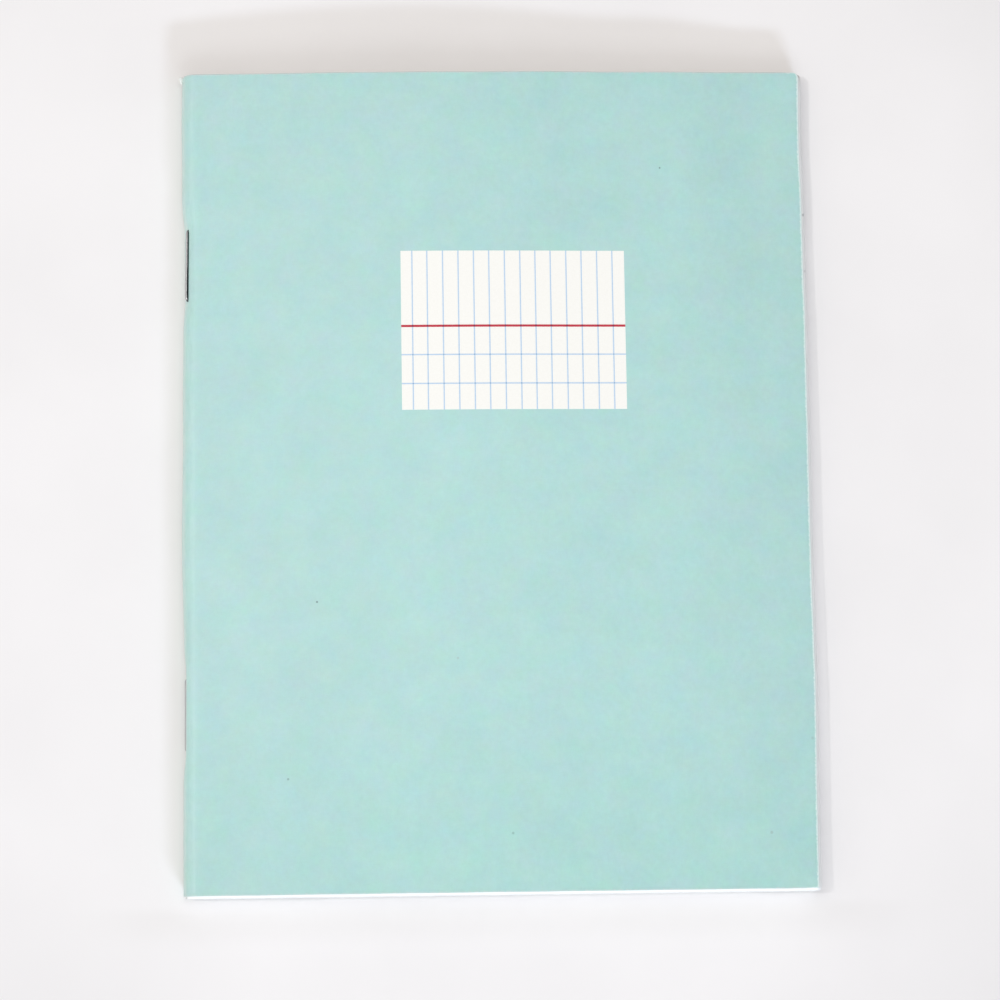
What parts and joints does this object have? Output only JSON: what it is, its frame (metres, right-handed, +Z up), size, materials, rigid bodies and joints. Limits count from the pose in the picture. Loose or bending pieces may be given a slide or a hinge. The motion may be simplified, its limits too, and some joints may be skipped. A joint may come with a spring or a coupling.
{
  "type": "composition notebook",
  "caption": "Thin soft-cover notebook with a folded card cover, wire staples through the fold and a blank ruled name panel; both covers open.",
  "frame": {"origin": "centre of the closed notebook's outline, on the underside of the back cover", "axes": "+X from the spine fold to the fore edge, +Y from the tail to the head, +Z up from the back cover to the front cover"},
  "size_m": [0.1062, 0.1404, 0.0059],
  "materials": {
    "pages": "uncoated matte",
    "cover_card": "matte, pale aqua outside over a white core",
    "staple_wire": "dull drawn wire"
  },
  "bodies": {
    "block": {"page_block": "pages", "cover_spine": "cover_card", "staple_upper": "staple_wire", "staple_lower": "staple_wire"},
    "front": {"front_cover": "cover_card"},
    "back": {"back_cover": "cover_card"}
  },
  "joints": [
    {"name": "front_cover_hinge", "type": "hinge", "parent": "block", "child": "front", "pos_m": [-0.05182, 0, 0.00438], "axis": [0, -1, 0], "range_deg": [0, 178]},
    {"name": "back_cover_hinge", "type": "hinge", "parent": "block", "child": "back", "pos_m": [-0.05182, 0, 0.00022], "axis": [0, 1, 0], "range_deg": [0, 178]}
  ]
}
